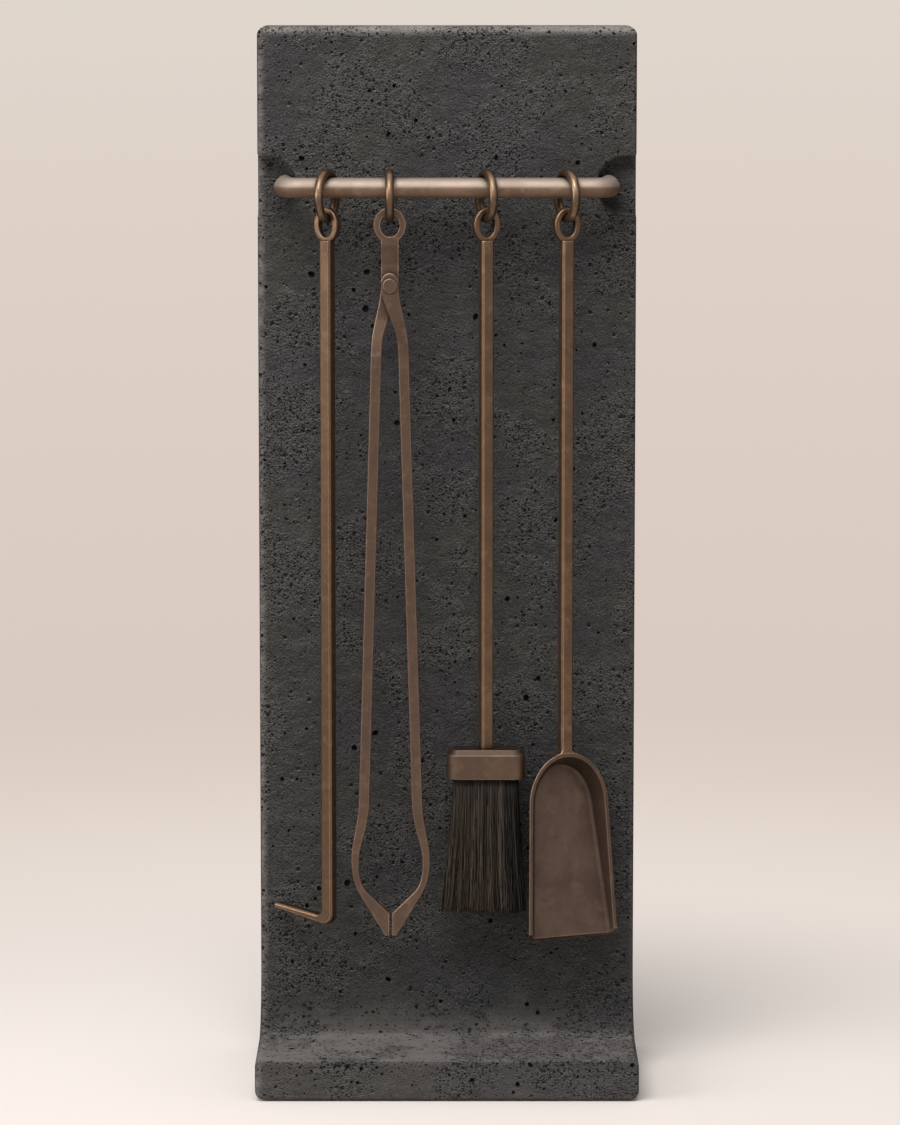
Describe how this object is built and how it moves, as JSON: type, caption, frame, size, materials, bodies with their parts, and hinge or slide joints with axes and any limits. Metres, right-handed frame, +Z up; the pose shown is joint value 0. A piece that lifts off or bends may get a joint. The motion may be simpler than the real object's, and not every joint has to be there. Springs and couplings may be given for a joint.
{
  "type": "fireplace tool set",
  "caption": "Cast stone stand with a forward foot and a round rail; a poker, tongs, brush and shovel in bronzed steel hang from it on closed rings.",
  "frame": {"origin": "centre of the footprint, on the floor that the pads stand on", "axes": "+Z up, the tools face -Y, +X to the right as seen from the front"},
  "size_m": [0.2998, 0.2, 0.832],
  "materials": {
    "cast_stone": "matt, finely porous",
    "bronze_steel": "satin bronze patina",
    "ring_steel": "satin bronze patina, rubbed brighter",
    "rail_steel": "satin bronze patina, rubbed brighter",
    "zinc_steel": "zinc plated",
    "pad_rubber": "matt",
    "block_wood": "plain beech",
    "bristle": "stiff dark fibre"
  },
  "bodies": {
    "stand": {"stand_slab": "cast_stone", "base_pad_1": "pad_rubber", "base_pad_2": "pad_rubber", "base_pad_3": "pad_rubber", "base_pad_4": "pad_rubber", "rail": "rail_steel", "rail_washer_left": "zinc_steel", "rail_washer_right": "zinc_steel", "rail_nut_left": "zinc_steel", "rail_nut_right": "zinc_steel"},
    "poker_ring": {"poker_ring": "ring_steel"},
    "tongs_ring": {"tongs_ring": "ring_steel"},
    "brush_ring": {"brush_ring": "ring_steel"},
    "shovel_ring": {"shovel_ring": "ring_steel"},
    "poker": {"poker_eye": "bronze_steel", "poker_rod": "bronze_steel"},
    "tongs": {"tongs_fixed_arm": "bronze_steel", "tongs_rivet": "bronze_steel", "tongs_washer": "bronze_steel"},
    "tongs_free_arm": {"tongs_free_arm": "bronze_steel"},
    "brush": {"brush_eye": "bronze_steel", "brush_rod": "bronze_steel", "brush_ferrule": "bronze_steel", "brush_block": "block_wood", "brush_nut": "zinc_steel", "brush_bristles": "bristle"},
    "shovel": {"shovel_eye": "bronze_steel", "shovel_rod": "bronze_steel", "shovel_pan": "bronze_steel"}
  },
  "joints": [
    {"name": "poker_swing", "type": "hinge", "parent": "stand", "child": "poker_ring", "pos_m": [-0.09388, 0.002, 0.707], "axis": [-1, 0, 0], "range_deg": [-0.1, 60]},
    {"name": "poker_twist", "type": "hinge", "parent": "poker_ring", "child": "poker", "pos_m": [-0.09388, 0.002, 0.6828], "axis": [0, 0, 1], "range_deg": [-2.5, 30]},
    {"name": "tongs_swing", "type": "hinge", "parent": "stand", "child": "tongs_ring", "pos_m": [-0.0448, 0.002, 0.707], "axis": [-1, 0, 0], "range_deg": [-0.6, 80]},
    {"name": "tongs_twist", "type": "hinge", "parent": "tongs_ring", "child": "tongs", "pos_m": [-0.0448, 0.002, 0.6828], "axis": [0, 0, 1], "range_deg": [-15, 15]},
    {"name": "brush_swing", "type": "hinge", "parent": "stand", "child": "brush_ring", "pos_m": [0.0308, 0.002, 0.707], "axis": [-1, 0, 0], "range_deg": [-1.5, 60]},
    {"name": "brush_twist", "type": "hinge", "parent": "brush_ring", "child": "brush", "pos_m": [0.0308, 0.002, 0.6828], "axis": [0, 0, 1], "range_deg": [-18, 10]},
    {"name": "shovel_swing", "type": "hinge", "parent": "stand", "child": "shovel_ring", "pos_m": [0.09388, 0.002, 0.707], "axis": [-1, 0, 0], "range_deg": [-1, 60]},
    {"name": "shovel_twist", "type": "hinge", "parent": "shovel_ring", "child": "shovel", "pos_m": [0.09388, 0.002, 0.6828], "axis": [0, 0, 1], "range_deg": [0, 14]},
    {"name": "tongs_open", "type": "hinge", "parent": "tongs", "child": "tongs_free_arm", "pos_m": [-0.0448, 0.002, 0.6307], "axis": [0, -1, 0], "range_deg": [-0.2, 24.5]}
  ],
  "couplings": [
    {"joint": "tongs_open", "follows": "tongs_swing", "ratio": 0.3}
  ]
}
